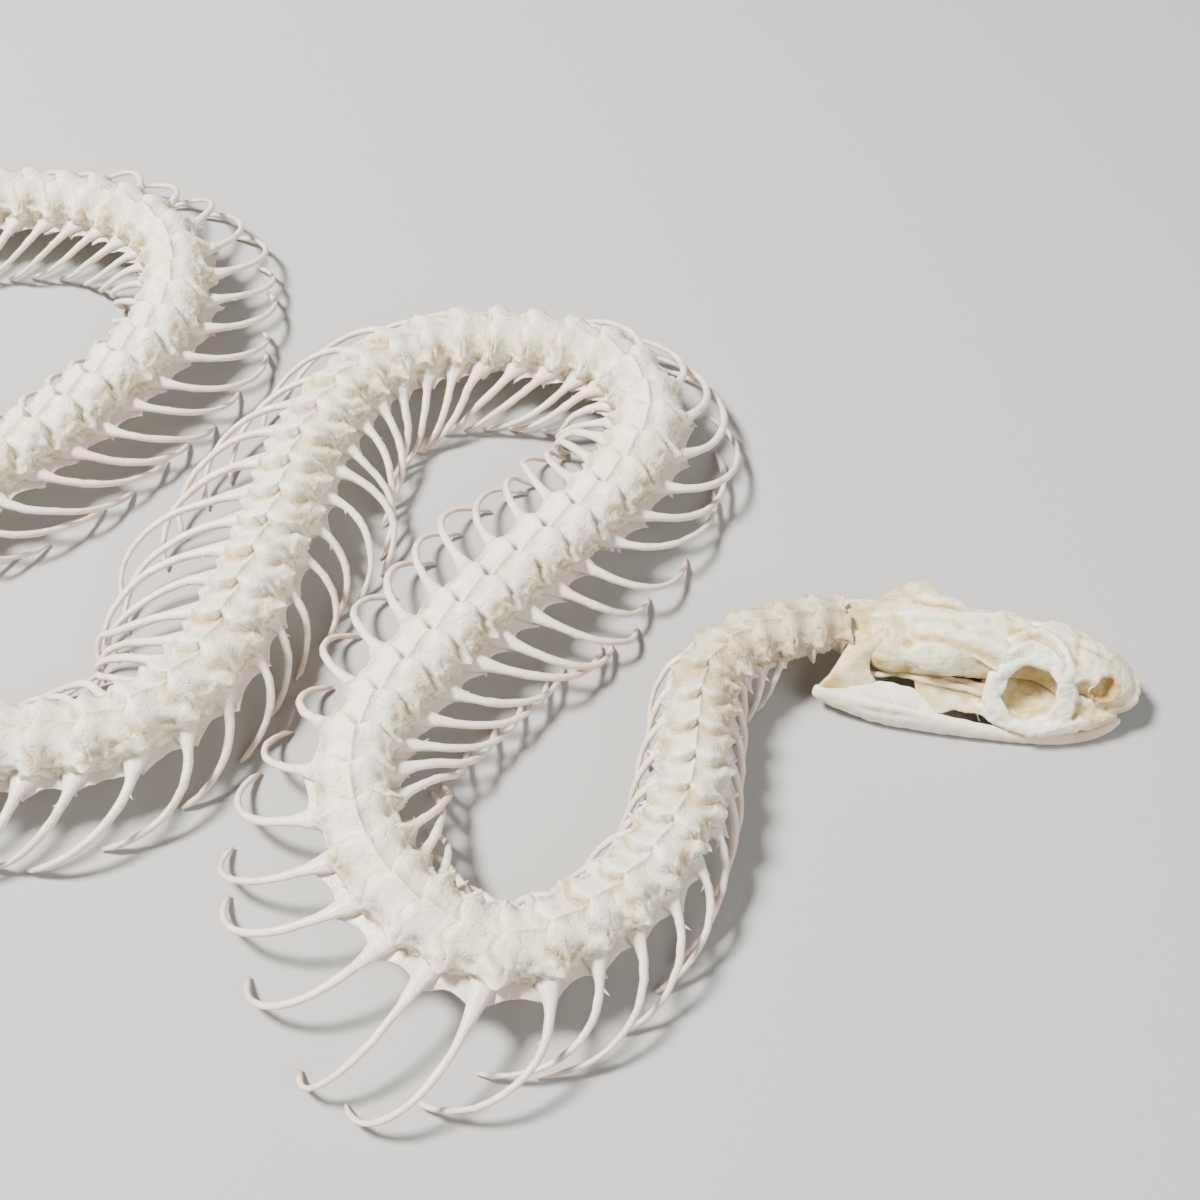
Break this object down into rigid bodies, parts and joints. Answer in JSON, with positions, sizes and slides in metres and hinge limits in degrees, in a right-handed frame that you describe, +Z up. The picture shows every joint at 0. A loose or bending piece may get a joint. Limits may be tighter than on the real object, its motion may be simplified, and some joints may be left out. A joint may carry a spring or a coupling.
{
  "type": "snake skeleton",
  "caption": "Complete dried snake skeleton lying in loops: skull with loose jaws, ribbed trunk column and tapering ribless tail.",
  "frame": {"origin": "centre of the bounding box in plan, on the floor that the skeleton lies on", "axes": "+Z up from the floor, +X along the longest extent and towards the side where the skull lies, +Y towards the far loops"},
  "size_m": [0.2498, 0.1772, 0.0123],
  "materials": {
    "trunk_bone": "dry ivory bone, matt to satin, with traces of dried ligament",
    "tail_bone": "dry ivory bone, matt to satin",
    "skull_bone": "thin dry bone, warm white with yellow-tan hollows",
    "jaw_bone": "smooth dry white bone"
  },
  "bodies": {
    "root": {"cranium": "skull_bone", "mandible_left": "jaw_bone", "mandible_right": "jaw_bone", "pterygoid_left": "skull_bone", "pterygoid_right": "skull_bone", "quadrate_left": "skull_bone", "quadrate_right": "skull_bone", "tail_1": "tail_bone", "tail_2": "tail_bone", "tail_3": "tail_bone", "tail_4": "tail_bone", "trunk_01_left": "trunk_bone", "trunk_01_right": "trunk_bone", "trunk_02_left": "trunk_bone", "trunk_02_right": "trunk_bone", "trunk_03_left": "trunk_bone", "trunk_03_right": "trunk_bone", "trunk_04_left": "trunk_bone", "trunk_04_right": "trunk_bone", "trunk_05_left": "trunk_bone", "trunk_05_right": "trunk_bone", "trunk_06_left": "trunk_bone", "trunk_06_right": "trunk_bone", "trunk_07_left": "trunk_bone", "trunk_07_right": "trunk_bone", "trunk_08_left": "trunk_bone", "trunk_08_right": "trunk_bone", "trunk_09_left": "trunk_bone", "trunk_09_right": "trunk_bone", "trunk_10_left": "trunk_bone", "trunk_10_right": "trunk_bone", "trunk_11_left": "trunk_bone", "trunk_11_right": "trunk_bone", "trunk_12_left": "trunk_bone", "trunk_12_right": "trunk_bone", "trunk_13_left": "trunk_bone", "trunk_13_right": "trunk_bone", "upper_jaw_left": "jaw_bone", "upper_jaw_right": "jaw_bone"}
  },
  "joints": []
}
